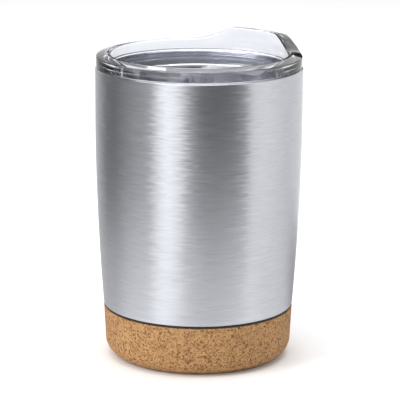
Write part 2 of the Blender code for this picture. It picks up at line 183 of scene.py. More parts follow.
# Brushed steel: how much of its lines is fine scratches, and how bright the dull lines are
SCRATCH_SHARE = 0.35
DULL_STEEL = 0.84

# A Mix node's sockets for numbers, vectors and colours stand in one row; these are the ones for colours
MIX_FACTOR, MIX_FIRST, MIX_SECOND, MIX_RESULT = 0, 6, 7, 2

# Camera
CAMERA_PLACE = (-0.6558, -0.5802, 0.2730)
CAMERA_LENS = 195.4
CAMERA_CLIP = 0.01
CAMERA_PITCH = math.radians(-13.366)
CAMERA_YAW = math.radians(-0.0412)
CAMERA_ROLL = math.radians(0.317)

# Stage
FLOOR_RADIUS = 6.0
SKY_COLOUR = (0.985, 0.99, 1.0, 1.0)
SKY_STRENGTH = 0.72
LIGHT_TARGET = (0, 0, 0.07)

# Reflection cards, each from its foot to its head as (distance, height)
CARD_STEPS = 60
STUDIO_CARD = ((0.22, 0.0), (0.22, 0.40))
TABLE_CARD = ((0.045, 0.0004), (0.22, 0.0004))
BACKDROP_CARD = ((0.30, 0.185), (0.30, 0.60))
HORIZON_CARD = ((0.30, 0.09), (0.30, 0.185))
HEAD_GAIN = 1.6

# Brightness of the reflection cards: (degrees from the camera, brightness)
STUDIO_BANDS = (
    (-168, 0.85),
    (-128, 0.46),
    (-113, 0.23),
    (-97, 0.20),
    (-73, 0.31),
    (-50, 0.46),
    (-42, 1.15),
    (-32, 1.72),
    (-20, 1.30),
    (-8, 0.36),
    (3, 0.10),
    (20, 0.08),
    (37, 0.16),
    (47, 0.38),
    (56, 1.07),
    (70, 1.14),
    (105, 0.93),
    (150, 0.92),
)
TABLE_BANDS = (
    (-180, 0.60),
    (-121, 0.68),
    (-98, 0.80),
    (-79, 1.08),
    (-55, 1.20),
    (-41, 1.55),
    (-27, 1.35),
    (-14, 1.10),
    (13, 1.05),
    (40, 1.15),
    (54, 1.20),
    (70, 1.05),
    (87, 1.02),
    (107, 0.88),
    (119, 0.62),
    (134, 0.40),
    (180, 0.50),
)
BACKDROP_BANDS = (
    (-180, 1.25),
    (-150, 1.15),
    (-128, 0.50),
    (-112, 2.20),
    (-75, 2.80),
    (-45, 3.60),
    (-25, 3.60),
    (-12, 1.10),
    (0, 0.60),
    (60, 0.55),
    (115, 0.20),
    (140, 0.5),
    (158, 1.15),
    (180, 1.25),
)
HORIZON_BANDS = ((110, 0.04), (250, 0.04))


# ---------------------------------------------------------------- node helpers


def add_node(tree, kind, values=None, **settings):
    """Adds a node, makes its settings, and sets or links the sockets named in values."""
    made = tree.nodes.new(kind)
    for key, value in settings.items():
        setattr(made, key, value)
    for key, value in (values or {}).items():
        if isinstance(value, bpy.types.NodeSocket):
            tree.links.new(value, made.inputs[key])
        else:
            made.inputs[key].default_value = value
    return made


def math_node(tree, operation, a, b=0.0):
    """The result of a sum on two numbers or sockets."""
    return add_node(tree, "ShaderNodeMath", {0: a, 1: b}, operation=operation).outputs[0]


def vector_node(tree, operation, values):
    """The result of a sum on vectors."""
    return add_node(tree, "ShaderNodeVectorMath", values, operation=operation).outputs[0]


def ramp(tree, factor, stops):
    """A colour ramp's colour. The stops are (place, colour) pairs."""
    made = add_node(tree, "ShaderNodeValToRGB", {"Fac": factor})
    elements = made.color_ramp.elements
    while len(elements) < len(stops):
        elements.new(0.5)
    for element, (place, colour) in zip(elements, stops):
        element.position = place
        element.color = (*colour, 1.0)
    return made.outputs["Color"]


def between(tree, factor, low, high):
    """A number that runs from low to high as the factor runs from 0 to 1."""
    made = add_node(
        tree, "ShaderNodeMapRange", {"Value": factor, "To Min": low, "To Max": high}
    )
    return made.outputs["Result"]


def mix_colour(tree, factor, first, second, blend="MIX"):
    """Two colours mixed."""
    made = tree.nodes.new("ShaderNodeMix")
    made.data_type = "RGBA"
    made.blend_type = blend
    for place, value in ((MIX_FACTOR, factor), (MIX_FIRST, first), (MIX_SECOND, second)):
        socket = made.inputs[place]
        if isinstance(value, bpy.types.NodeSocket):
            tree.links.new(value, socket)
        elif isinstance(value, tuple):
            socket.default_value = (*value, 1.0)
        else:
            socket.default_value = value
    return made.outputs[MIX_RESULT]


def place_in_piece(tree, scale=(1.0, 1.0, 1.0)):
    """The piece's own coordinates, stretched."""
    where = add_node(tree, "ShaderNodeTexCoord").outputs["Object"]
    return add_node(tree, "ShaderNodeMapping", {"Vector": where, "Scale": scale}).outputs[0]


def noise(tree, vector, scale=1.0, detail=2.0, rough=0.5):
    """A noise's grey value."""
    values = {"Vector": vector, "Scale": scale, "Detail": detail, "Roughness": rough}
    return add_node(tree, "ShaderNodeTexNoise", values).outputs[0]


def cells(tree, vector, scale, feature="F1", output="Distance"):
    """A Voronoi texture's distance or colour."""
    values = {"Vector": vector, "Scale": scale}
    return add_node(tree, "ShaderNodeTexVoronoi", values, feature=feature).outputs[output]


def first_channel(tree, colour):
    """A colour's red channel, as a grey value."""
    return add_node(tree, "ShaderNodeSeparateColor", {0: colour}).outputs[0]


def bump(tree, height, distance, strength=1.0, normal=None):
    """A normal that is tilted by a height."""
    values = {"Height": height, "Distance": distance, "Strength": strength}
    if normal is not None:
        values["Normal"] = normal
    return add_node(tree, "ShaderNodeBump", values).outputs["Normal"]


def new_material(name):
    """A material with a bare Principled shader: (material, tree, shader)."""
    made = bpy.data.materials.new(name)
    made.use_nodes = True
    return made, made.node_tree, made.node_tree.nodes["Principled BSDF"]


def connect(tree, shader, **sockets):
    """Links outputs to the shader's sockets: the names use _ for a space."""
    for name, output in sockets.items():
        tree.links.new(output, shader.inputs[name.replace("_", " ")])


# ---------------------------------------------------------------- materials


def brushed_steel(name, settings, sway_by, shine, grip, brightness=1.0):
    """Steel brushed round the axis: fine lines, a wavering normal, and highlights drawn out along Z."""
    made, tree, shader = new_material(name)
    scratches = noise(tree, place_in_piece(tree, SCRATCH_SCALES), detail=3.0, rough=0.65)
    strokes = noise(tree, place_in_piece(tree, STROKE_SCALES), detail=3.0, rough=0.6)
    cloud = noise(tree, place_in_piece(tree), CLOUD_SCALE)
    fine = math_node(tree, "MULTIPLY", scratches, SCRATCH_SHARE)
    broad = math_node(tree, "MULTIPLY", strokes, 1 - SCRATCH_SHARE)
    lines = math_node(tree, "ADD", fine, broad)
    # A brightness above 1 raises the steel's colour: painted light.
    tint = tuple(brightness * c for c in settings.steel_colour)
    dull = tuple(DULL_STEEL * c for c in tint)
    colour = mix_colour(tree, between(tree, lines, -1.2, 2.2), dull, tint)
    line_rough = between(tree, lines, shine - grip, shine + grip)
    rough = math_node(tree, "ADD", line_rough, between(tree, cloud, -0.02, 0.02))
    geometry = add_node(tree, "ShaderNodeNewGeometry")
    round_axis = add_node(tree, "ShaderNodeTangent", direction_type="RADIAL", axis="Z").outputs[0]
    sway = noise(tree, place_in_piece(tree, SWAY_SCALES), rough=0.55)
    lean = vector_node(tree, "SCALE", {0: round_axis, "Scale": between(tree, sway, -sway_by, sway_by)})
    leaning = vector_node(tree, "ADD", {0: geometry.outputs["Normal"], 1: lean})
    swaying = vector_node(tree, "NORMALIZE", {0: leaning})
    connect(
        tree,
        shader,
        Base_Color=colour,
        Roughness=rough,
        Normal=bump(tree, lines, 0.006 * MM, 1.0, swaying),
        Tangent=round_axis,
    )
    shader.inputs["Metallic"].default_value = 1.0
    shader.inputs["Anisotropic"].default_value = 0.85
    shader.inputs["Anisotropic Rotation"].default_value = 0.25
    return made


def bonded_cork(settings):
    """Granulated cork: pale and dark grains, dark specks between them, and shallow pores."""
    made, tree, shader = new_material("bonded_cork")
    where = place_in_piece(tree)
    warped = add_node(
        tree, "ShaderNodeTexNoise", {"Vector": where, "Scale": WARP_SCALE, "Detail": 2.0}
    ).outputs["Color"]
    shift = vector_node(tree, "SCALE", {0: warped, "Scale": 0.5 * MM})
    grain_at = vector_node(tree, "ADD", {0: where, 1: shift})
    grain = first_channel(tree, cells(tree, grain_at, GRAIN_SCALE, output="Color"))
    fleck = first_channel(tree, cells(tree, grain_at, FLECK_SCALE, output="Color"))
    seam = cells(tree, grain_at, GRAIN_SCALE, "DISTANCE_TO_EDGE")
    dust = noise(tree, where, DUST_SCALE, 3.0, 0.7)
    cloud = noise(tree, where, 60.0, 3.0, 0.5)
    black, white = (0.0, 0.0, 0.0), (1.0, 1.0, 1.0)
    light, mid = tuple(settings.cork_light), tuple(settings.cork_mid)
    dark, speck = tuple(settings.cork_dark), tuple(settings.cork_speck)
    pale = tuple(1.3 * c for c in light)
    colour = ramp(tree, grain, [(0.0, dark), (0.28, mid), (0.8, light), (1.0, mid)])
    colour = mix_colour(tree, ramp(tree, dust, [(0.52, black), (0.78, white)]), colour, pale)
    colour = mix_colour(tree, ramp(tree, seam, [(0.0, (0.55,) * 3), (0.10, black)]), colour, dark)
    bark = ramp(tree, fleck, [(0.88, black), (0.94, (0.85,) * 3)])
    colour = mix_colour(tree, bark, colour, speck)
    shade = between(tree, cloud, 0.88, 1.10)
    tone = add_node(tree, "ShaderNodeCombineColor", {0: shade, 1: shade, 2: shade}).outputs[0]
    colour = mix_colour(tree, 1.0, colour, tone, "MULTIPLY")
    pores = math_node(tree, "SUBTRACT", between(tree, dust, 0.0, 0.5), between(tree, bark, 0.0, 0.6))
    connect(
        tree,
        shader,
        Base_Color=colour,
        Roughness=between(tree, grain, 0.72, 0.9),
        Normal=bump(tree, pores, 0.12 * MM, 0.8),
    )
    shader.inputs["Specular IOR Level"].default_value = 0.25
    return made


def clear_plastic(settings):
    """Clear moulded plastic with a faint ripple from the mould and a few rubbed places."""
    made, tree, shader = new_material("clear_plastic")
    ripple = noise(tree, place_in_piece(tree, RIPPLE_SCALES), rough=0.4)
    rubbed = noise(tree, place_in_piece(tree), 300.0, 4.0, 0.6)
    rough = ramp(tree, rubbed, [(0.45, (0.015,) * 3), (0.75, (0.06,) * 3)])
    connect(tree, shader, Roughness=rough, Normal=bump(tree, ripple, 0.05 * MM, 0.6))
    shader.inputs["Base Color"].default_value = (*settings.lid_colour, 1.0)
    shader.inputs["Transmission Weight"].default_value = 1.0
    shader.inputs["IOR"].default_value = 1.49
    return made


def milky_silicone():
    """Soft clear silicone, milky with a satin skin."""
    made, tree, shader = new_material("clear_silicone")
    skin = noise(tree, place_in_piece(tree), 700.0, 3.0)
    connect(
        tree,
        shader,
        Base_Color=mix_colour(tree, skin, (0.84, 0.86, 0.88), (0.93, 0.94, 0.95)),
        Roughness=between(tree, skin, 0.28, 0.42),
        Normal=bump(tree, skin, 0.01 * MM, 0.4),
    )
    shader.inputs["Transmission Weight"].default_value = 0.7
    shader.inputs["IOR"].default_value = 1.41
    return made


def plain_finish(name, colour, spread, roughness, grain_scale, grain_depth, metallic=0.0):
    """A plain finish whose colour, gloss and surface all vary a little."""
    made, tree, shader = new_material(name)
    grain = noise(tree, place_in_piece(tree), grain_scale, 4.0, 0.6)
    low = tuple(c * (1 - spread) for c in colour)
    high = tuple(min(1.0, c * (1 + spread)) for c in colour)
    connect(
        tree,
        shader,
        Base_Color=mix_colour(tree, grain, low, high),
        Roughness=between(tree, grain, roughness - 0.08, roughness + 0.08),
        Normal=bump(tree, grain, grain_depth, 0.6),
    )
    shader.inputs["Metallic"].default_value = metallic
    return made


# ---------------------------------------------------------------- mesh helpers


def spaced(first, last, steps):
    """Evenly spaced numbers from the first to the last."""
    return [first + (last - first) * i / steps for i in range(steps + 1)]


def arc(centre, radius, start, end, steps):
    """Points of a round stretch of an outline, as (radius, height). The angles are in degrees."""
    angles = [math.radians(degrees) for degrees in spaced(start, end, steps)]
    return [(centre[0] + radius * math.cos(a), centre[1] + radius * math.sin(a)) for a in angles]


def straight(start, end, steps):
    """Points between the two ends of a straight stretch of an outline, without the ends."""
    shares = spaced(0.0, 1.0, steps)[1:-1]
    return [(start[0] + (end[0] - start[0]) * t, start[1] + (end[1] - start[1]) * t) for t in shares]


def wall(path, thickness):
    """The closed outline of a sheet that lies to the left of a path, or to its right if negative."""
    back = []
    last = len(path) - 1
    for i, here in enumerate(path):
        sides = []
        for a, b in ((path[max(i - 1, 0)], here), (here, path[min(i + 1, last)])):
            length = math.dist(a, b)
            if length > 0:
                sides.append(Vector(((a[1] - b[1]) / length, (b[0] - a[0]) / length)))
        mean = sum(sides, Vector((0, 0)))
        offset = mean * (thickness * len(sides) / mean.length_squared)
        back.append((here[0] + offset.x, here[1] + offset.y))
    return path + back[::-1]


def linked(name, mesh):
    """A new object in the scene with the given mesh."""
    made = bpy.data.objects.new(name, mesh)
    bpy.context.scene.collection.objects.link(made)
    return made


def turning_tree():
    """Geometry Nodes: an outline turned round Z, and roughened inwards by pores of a given size."""
    tree = bpy.data.node_groups.get("Turned Piece")
    if tree:
        return tree
    tree = bpy.data.node_groups.new("Turned Piece", "GeometryNodeTree")
    face = tree.interface
    face.new_socket("Outline", in_out="INPUT", socket_type="NodeSocketGeometry")
    for label, kind, start in (
        ("Steps Around", "NodeSocketInt", STEPS_AROUND),
        ("Pore Depth", "NodeSocketFloat", 0.0),
        ("Pore Scale", "NodeSocketFloat", PORE_SCALE),
        ("Seed", "NodeSocketFloat", 3.0),
    ):
        face.new_socket(label, in_out="INPUT", socket_type=kind).default_value = start
    face.new_socket("Material", in_out="INPUT", socket_type="NodeSocketMaterial")
    face.new_socket("Piece", in_out="OUTPUT", socket_type="NodeSocketGeometry")
    given = add_node(tree, "NodeGroupInput").outputs
    # The outline is swept round a small circle, so it is first moved inwards by the circle's radius
    hub = 1.0 * MM
    laid = add_node(
        tree,
        "GeometryNodeTransform",
        {"Geometry": given["Outline"], "Translation": (-hub, 0, 0), "Rotation": (math.pi / 2, 0, 0)},
    ).outputs[0]
    profile = add_node(tree, "GeometryNodeMeshToCurve", {"Mesh": laid}).outputs[0]
    path = add_node(
        tree, "GeometryNodeCurvePrimitiveCircle", {"Resolution": given["Steps Around"], "Radius": hub}
    ).outputs[0]
    turned = add_node(
        tree, "GeometryNodeCurveToMesh", {"Curve": path, "Profile Curve": profile}
    ).outputs[0]
    closed = add_node(
        tree, "GeometryNodeMergeByDistance", {"Geometry": turned, "Distance": SEAM_MERGE}
    ).outputs[0]
    grain = add_node(
        tree,
        "ShaderNodeTexNoise",
        {"W": given["Seed"], "Scale": given["Pore Scale"], "Detail": 2.0, "Roughness": 0.6},
        noise_dimensions="4D",
    ).outputs[0]
    pore = add_node(
        tree,
        "ShaderNodeMapRange",
        {"Value": grain, "From Min": 0.5, "From Max": 0.78, "To Min": 0.0, "To Max": 1.0},
    ).outputs[0]
    depth = math_node(tree, "MULTIPLY", pore, given["Pore Depth"])
    normal = add_node(tree, "GeometryNodeInputNormal").outputs[0]
    inwards = vector_node(tree, "SCALE", {0: normal, "Scale": math_node(tree, "MULTIPLY", depth, -1.0)})
    pitted = add_node(tree, "GeometryNodeSetPosition", {"Geometry": closed, "Offset": inwards}).outputs[0]
    real = add_node(tree, "GeometryNodeRealizeInstances", {"Geometry": pitted}).outputs[0]
    finished = add_node(
        tree, "GeometryNodeSetMaterial", {"Geometry": real, "Material": given["Material"]}
    ).outputs[0]
    add_node(tree, "NodeGroupOutput", {"Piece": finished})
    return tree


def set_input(modifier, label, value):
    """Sets a Geometry Nodes input by its socket's identifier."""
    for item in modifier.node_group.interface.items_tree:
        if item.item_type == "SOCKET" and item.in_out == "INPUT" and item.name == label:
            modifier[item.identifier] = value
            return
    raise KeyError(label)


def settle(piece, flat_above=35.0):
    """Makes the evaluated shape the piece's own mesh: closed, facing out, and smooth but for sharp edges."""
    graph = bpy.context.evaluated_depsgraph_get()
    mesh = bpy.data.meshes.new_from_object(piece.evaluated_get(graph))
    piece.modifiers.clear()
    piece.data = mesh
    bm = bmesh.new()
    bm.from_mesh(mesh)
    bmesh.ops.remove_doubles(bm, verts=bm.verts, dist=POINT_MERGE)
    bmesh.ops.recalc_face_normals(bm, faces=bm.faces)
    bm.to_mesh(mesh)
    bm.free()
    mesh.shade_smooth()
    mesh.set_sharp_from_angle(angle=math.radians(flat_above))
    return piece


def turned(name, outline, material, steps=STEPS_AROUND, pore_depth=0.0, flat_above=35.0):
    """A piece turned round Z from a closed outline of (radius, height) points."""
    mesh = bpy.data.meshes.new(name)
    on_axis = outline[0][0] == 0 and outline[-1][0] == 0
    count = len(outline)
    edges = [(i, (i + 1) % count) for i in range(count - 1 if on_axis else count)]
    mesh.from_pydata([(r, 0.0, z) for r, z in outline], edges, [])
    piece = linked(name, mesh)
    modifier = piece.modifiers.new("Turned", "NODES")
    modifier.node_group = turning_tree()
    set_input(modifier, "Steps Around", steps)
    set_input(modifier, "Pore Depth", pore_depth)
    set_input(modifier, "Pore Scale", PORE_SCALE)
    set_input(modifier, "Material", material)
    return settle(piece, flat_above)


def lofted(name, loops, material):
    """A solid skinned over a row of loops that have the same number of points."""
    bm = bmesh.new()
    rows = [[bm.verts.new(p) for p in loop] for loop in loops]
    for here, there in zip(rows, rows[1:]):
        for i in range(len(here)):
            j = (i + 1) % len(here)
            bm.faces.new((here[i], here[j], there[j], there[i]))
    bm.faces.new(rows[0])
    bm.faces.new(rows[-1])
    mesh = bpy.data.meshes.new(name)
    bmesh.ops.recalc_face_normals(bm, faces=bm.faces)
    bm.to_mesh(mesh)
    bm.free()
    mesh.materials.append(material)
    return linked(name, mesh)


def cut_or_join(piece, tool, operation):
    """Cuts the piece with a tool, or joins the tool to it, and removes the tool."""
    modifier = piece.modifiers.new("Boolean", "BOOLEAN")
    modifier.operation = operation
    modifier.solver = "EXACT"
    modifier.object = tool
    graph = bpy.context.evaluated_depsgraph_get()
    mesh = bpy.data.meshes.new_from_object(piece.evaluated_get(graph))
    piece.modifiers.clear()
    piece.data = mesh
    bpy.data.objects.remove(tool)


def rounded_plan(low, high, radius, z, steps=10):
    """A loop round a rectangle with round corners, at a height."""
    points = []
    for x_side, y_side, start in ((1, 1, 0), (-1, 1, 90), (-1, -1, 180), (1, -1, 270)):
        x = (high[0] if x_side > 0 else low[0]) - x_side * radius
        y = (high[1] if y_side > 0 else low[1]) - y_side * radius
        points += [(a, b, z) for a, b in arc((x, y), radius, start, start + 90, steps)]
    return points


def refinish(name, finish):
    """Gives a node of the frame a better material and keeps its shape."""
    node = frame["nodes"][name]
    node.data.materials.clear()
    node.data.materials.append(finish)


def belong(piece, body, slot, *nodes):
    """Tells the frame what the piece rides on and stands for. The slot is not used."""
    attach(piece, body)
    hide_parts(*nodes)


# ---------------------------------------------------------------- settings


class CupSettings(bpy.types.PropertyGroup):
    """Sizes and colours of the cup that a user would change."""

    taper_start: bpy.props.FloatProperty(
        name="Taper Start",
        description="Height where the shell begins to draw in",
        default=0.100,
        unit="LENGTH",
    )
    waist_radius: bpy.props.FloatProperty(
        name="Waist Radius",
        description="Shell's radius above the cork",
        default=CORK_HIGH.x,
        unit="LENGTH",
    )
    taper_power: bpy.props.FloatProperty(
        name="Taper Curve",
        description="How late the shell draws in: 1 is a straight cone",
        default=1.88,
        min=1.0,
    )
    steel_colour: bpy.props.FloatVectorProperty(
        name="Steel",
        description="Colour of the brushed steel",
        default=(0.600, 0.612, 0.655),
        subtype="COLOR",
    )
    cork_light: bpy.props.FloatVectorProperty(
        name="Light Grain",
        description="Colour of the pale cork grains",
        default=(0.52, 0.298, 0.130),
        subtype="COLOR",
    )
    cork_mid: bpy.props.FloatVectorProperty(
        name="Middle Grain",
        description="Colour of most cork grains",
        default=(0.375, 0.198, 0.081),
        subtype="COLOR",
    )
    cork_dark: bpy.props.FloatVectorProperty(
        name="Dark Grain",
        description="Colour of the dark cork grains",
        default=(0.185, 0.086, 0.031),
        subtype="COLOR",
    )
    cork_speck: bpy.props.FloatVectorProperty(
        name="Specks",
        description="Colour of the bark specks",
        default=(0.055, 0.024, 0.010),
        subtype="COLOR",
    )


class LidSettings(bpy.types.PropertyGroup):
    """Sizes and colours of the lid that a user would change."""

    rim_height: bpy.props.FloatProperty(
        name="Rim Height",
        description="Top of the lid's rim away from the drinking lip",
        default=0.1268,
        unit="LENGTH",
    )
    lip_flat: bpy.props.FloatProperty(
        name="Lip Flat",
        description="Half the angle over which the lip is at full height",
        default=math.radians(18),
        subtype="ANGLE",
    )
    lip_foot: bpy.props.FloatProperty(
        name="Lip Foot",
        description="Angle at which the lip has run down to the rim",
        default=math.radians(45),
        subtype="ANGLE",
    )
    facet: bpy.props.FloatProperty(
        name="Lip Facet",
        description="Half the angle of the flat wall behind the lip",
        default=math.radians(13.5),
        subtype="ANGLE",
    )
    lid_colour: bpy.props.FloatVectorProperty(
        name="Lid",
        description="Colour of the clear plastic",
        default=(0.80, 0.81, 0.86),
        subtype="COLOR",
    )


# ---------------------------------------------------------------- the cup


def shell_radius(height, settings):
    """Straight at the top, and drawn in slowly towards the cork."""
    drop = max(0.0, settings.taper_start - height) / (settings.taper_start - SHOULDER)
    return CUP_RADIUS - (CUP_RADIUS - settings.waist_radius) * drop**settings.taper_power


class CUP_OT_outer_shell(bpy.types.Operator):
    """Builds the brushed outer shell, from its rolled lip to the neck inside the cork"""

    bl_idname = "travel_cup.outer_shell"
    bl_label = "Outer Shell"

    def execute(self, context):
        settings = context.scene.travel_cup
        crown = (CUP_RADIUS - SHELL_LIP_ROUND, RIM - SHELL_LIP_ROUND)
        path = [(SHELL_SEAM_RADIUS, RIM), *arc(crown, SHELL_LIP_ROUND, 90, 0, 14)]
        heights = spaced(settings.taper_start, SHOULDER + SHOULDER_ROUND, 60)
        path += [(shell_radius(z, settings), z) for z in heights]
        shoulder = (settings.waist_radius - SHOULDER_ROUND, SHOULDER + SHOULDER_ROUND)
        path += arc(shoulder, SHOULDER_ROUND, 0, -90, 8)[1:]
        path += [(NECK_RADIUS + NECK_BEND, SHOULDER), (NECK_RADIUS, SHOULDER - NECK_BEND)]
        path.append((NECK_RADIUS, SHELL_LOW.z))
        steel = brushed_steel("brushed_steel", settings, sway_by=0.10, shine=0.30, grip=0.06)
        shell = turned("brushed_shell", wall(path, -SHELL_SHEET), steel)
        belong(shell, "cup", "brushed_steel", "outer_shell")
        return {"FINISHED"}


class CUP_OT_liner(bpy.types.Operator):
    """Builds the liner that holds the drink, with its rolled lip and round bottom corner"""

    bl_idname = "travel_cup.liner"
    bl_label = "Inner Liner"

    def execute(self, context):
        settings = context.scene.travel_cup
        floor = LINER_LOW.z + LINER_SHEET
        crown = (MOUTH_RADIUS + LINER_LIP_ROUND, RIM - LINER_LIP_ROUND)
        path = [(LINER_SEAM_RADIUS, RIM), *arc(crown, LINER_LIP_ROUND, 90, 180, 12)]
        path += arc((LINER_FOOT_RADIUS - LINER_CORNER, floor + LINER_CORNER), LINER_CORNER, 0, -90, 20)
        path.append((0.0, floor))
        # The liner's steel colour is raised 1.2 times over the shell's. This is painted light, standing in
        # for light that comes into the cup through the clear lid.
        steel = brushed_steel("satin_steel", settings, sway_by=0.06, shine=0.26, grip=0.06, brightness=1.2)
        liner = turned("satin_liner", wall(path, LINER_SHEET), steel)
        belong(liner, "cup", "satin_steel", "inner_liner")
        return {"FINISHED"}


class CUP_OT_cork_base(bpy.types.Operator):
    """Builds the turned cork base with its pores, and the dark ring above it"""

    bl_idname = "travel_cup.cork_base"
    bl_label = "Cork Base"

    def execute(self, context):
        settings = context.scene.travel_cup
        side, top = settings.waist_radius, CORK_HIGH.z - SEAM_EASE
        foot = (CORK_FOOT_RADIUS - CORK_EDGE, CORK_EDGE)
        corner = (POCKET_RADIUS - POCKET_CORNER, CORK_FLOOR + POCKET_CORNER)
        outline = [(0.0, CORK_FLOOR), *arc(corner, POCKET_CORNER, -90, 0, 4)]
        outline += [(POCKET_RADIUS, top), (side - CORK_TOP_EDGE, top), (side, top - CORK_TOP_EDGE)]
        outline += straight((side, top - CORK_TOP_EDGE), (CORK_FOOT_RADIUS, CORK_EDGE), 34)
        outline += arc(foot, CORK_EDGE, 0, -90, 28)
        outline += [*straight((foot[0], 0.0), (0.0, 0.0), 48), (0.0, 0.0)]
        finish = bonded_cork(settings)
        cork = turned("cork_sleeve", outline, finish, CORK_STEPS, PORE_DEPTH, flat_above=60)
        belong(cork, "cup", "cork", "cork_base")
        inner, outer = GASKET_HIGH.x - RING_WIDTH, settings.waist_radius - RING_INSET
        low, high = GASKET_LOW.z - SEAM_EASE, GASKET_HIGH.z
        half = (high - low) / 2
        round_edge = arc((outer - RING_EDGE, (low + high) / 2), half, -90, 90, 6)
        rubber = plain_finish("dark_rubber", *DARK_RUBBER)
        ring = turned("shadow_ring", [(inner, low), *round_edge, (inner, high)], rubber)
        belong(ring, "cup", "dark_rubber", "base_gasket")
        return {"FINISHED"}


class CUP_OT_hidden_pieces(bpy.types.Operator):
    """Finishes the pieces that the cup holds inside its foot"""

    bl_idname = "travel_cup.hidden_pieces"
    bl_label = "Hidden Pieces"

    def execute(self, context):
        pressed = plain_finish("pressed_steel", *PRESSED_STEEL)
        refinish("base_pan", pressed)
        refinish("getter_strap", pressed)
        refinish("getter_pill", plain_finish("getter_powder", *GETTER_POWDER))
        refinish("vacuum_seal_bead", plain_finish("solder_glass", *SOLDER_GLASS))
        refinish("cork_adhesive_pad", plain_finish("adhesive_pad", *ADHESIVE_PAD))
        return {"FINISHED"}


# ---------------------------------------------------------------- the lid


def lip_height(angle, settings):
    """The height of the lid's rim at an angle from the drinking lip's middle."""
    share = (settings.lip_foot - abs(angle)) / (settings.lip_foot - settings.lip_flat)
    turn = 0.75 * math.pi
    eased = (1 - math.cos(turn * min(max(share, 0.0), 1.0))) / (1 - math.cos(turn))
    return settings.rim_height + (LID_HIGH.z - settings.rim_height) * eased


def rim_bevel(top):
    """The sloping top of the lid's rim: a soft brow, a bevel that falls outwards, and a crisp outer edge."""
    brow = arc((RIM_BROW_AT, top - RIM_BROW_ROUND), RIM_BROW_ROUND, 90, 90 - RIM_BEVEL, 4)
    slope = math.radians(RIM_BEVEL)
    end_radius = LID_RADIUS - RIM_EDGE_ROUND * (1 - math.sin(slope))
    end_height = brow[-1][1] - (end_radius - brow[-1][0]) * math.tan(slope)
    edge = (LID_RADIUS - RIM_EDGE_ROUND, end_height - RIM_EDGE_ROUND * math.cos(slope))
    return brow + arc(edge, RIM_EDGE_ROUND, 90 - RIM_BEVEL, 0, 6)


def lid_section(angle, settings):
    """Half of the lid's section at an angle: out along the well, over the rim, and back underneath."""
    top = lip_height(angle, settings)
    flatten = math.cos(settings.facet) / math.cos(angle) if abs(angle) < settings.facet else 1.0
    wall_foot, wall_top = WALL_FOOT_RADIUS * flatten, WALL_TOP_RADIUS * flatten
    points = arc((wall_foot - WALL_FILLET, LID_FLOOR + WALL_FILLET), WALL_FILLET, -90, 0, 5)
    points += arc((wall_top + RIM_INNER_ROUND, top - RIM_INNER_ROUND), RIM_INNER_ROUND, 180, 90, 7)
    points += rim_bevel(top)
    points += arc((LID_RADIUS - SEAT_EDGE, LID_SEAT + SEAT_EDGE), SEAT_EDGE, 0, -90, 3)
    points += [(PLUG_RADIUS, LID_SEAT), (PLUG_RADIUS, GROOVE_HIGH)]
    points += [(GROOVE_RADIUS, GROOVE_HIGH), (GROOVE_RADIUS, GROOVE_LOW)]
    points += [(PLUG_RADIUS, GROOVE_LOW), (PLUG_RADIUS - PLUG_LEAD_IN, LID_LOW.z)]
    return points


def lid_shape(name, settings, material):
    """The lid before its holes are cut: a section swept round Z, closed by its floor's two discs."""
    bm = bmesh.new()
    columns = []
    for i in range(LID_STEPS):
        angle = math.tau * i / LID_STEPS
        section = lid_section(angle if angle <= math.pi else angle - math.tau, settings)
        columns.append([bm.verts.new((r * math.cos(angle), r * math.sin(angle), z)) for r, z in section])
    for here, there in zip(columns, columns[1:] + columns[:1]):
        for i in range(len(here) - 1):
            bm.faces.new((here[i], there[i], there[i + 1], here[i + 1]))
    bm.faces.new([column[0] for column in columns])
    bm.faces.new([column[-1] for column in columns])
    bmesh.ops.recalc_face_normals(bm, faces=bm.faces)
    mesh = bpy.data.meshes.new(name)
    bm.to_mesh(mesh)
    bm.free()
    mesh.materials.append(material)
    return linked(name, mesh)


def hole_cutter(low, high, corner, material):
    """A cutter for a hole through the lid's floor that leaves a chamfer at both faces."""
    past = 1.0 * MM
    stations = (
        (LID_LOW.z - past, HOLE_CHAMFER + past),
        (LID_LOW.z + HOLE_CHAMFER, 0.0),
        (LID_FLOOR - HOLE_CHAMFER, 0.0),
        (LID_FLOOR + past, HOLE_CHAMFER + past),
    )
    loops = []
    for z, grow in stations:
        wider_low, wider_high = (low[0] - grow, low[1] - grow), (high[0] + grow, high[1] + grow)
        loops.append(rounded_plan(wider_low, wider_high, corner + grow, z))
    return lofted("hole_cutter", loops, material)


class CUP_OT_lid_moulding(bpy.types.Operator):
    """Builds the clear lid with its well, raised drinking lip, plug, drinking hole, slot and vent"""

    bl_idname = "travel_cup.lid_moulding"
    bl_label = "Lid Moulding"

    def execute(self, context):
        settings = context.scene.travel_cup_lid
        plastic = clear_plastic(settings)
        lid = lid_shape("lid_moulding", settings, plastic)
        for low, high, corner in (DRINKING_HOLE, SLIDER_SLOT, AIR_VENT):
            cut_or_join(lid, hole_cutter(low, high, corner, plastic), "DIFFERENCE")
        settle(lid)
        belong(lid, "lid", "clear_plastic", "lid_body")
        return {"FINISHED"}


class CUP_OT_lid_seal(bpy.types.Operator):
    """Builds the silicone ring in the lid's groove, with its two soft lips"""

    bl_idname = "travel_cup.lid_seal"
    bl_label = "Lid Seal"

    def execute(self, context):
        web = SEAL_BORE + SEAL_WEB
        lip_at = SEAL_TIP - SEAL_LIP_ROUND
        low, high = SEAL_LOW.z, SEAL_HIGH.z
        outline = [(SEAL_BORE, low), (web, low)]
        outline += arc((lip_at, low + SEAL_LIP_INSET), SEAL_LIP_ROUND, -60, 60, 6)
        outline += [(web, low + SEAL_LIP_DEPTH), (web, high - SEAL_LIP_DEPTH)]
        outline += arc((lip_at, high - SEAL_LIP_INSET), SEAL_LIP_ROUND, -60, 60, 6)
        outline += [(web, high), (SEAL_BORE, high)]
        ring = turned("seal_ring", outline, milky_silicone())
        belong(ring, "lid_ring", "clear_silicone", "lid_seal")
        return {"FINISHED"}


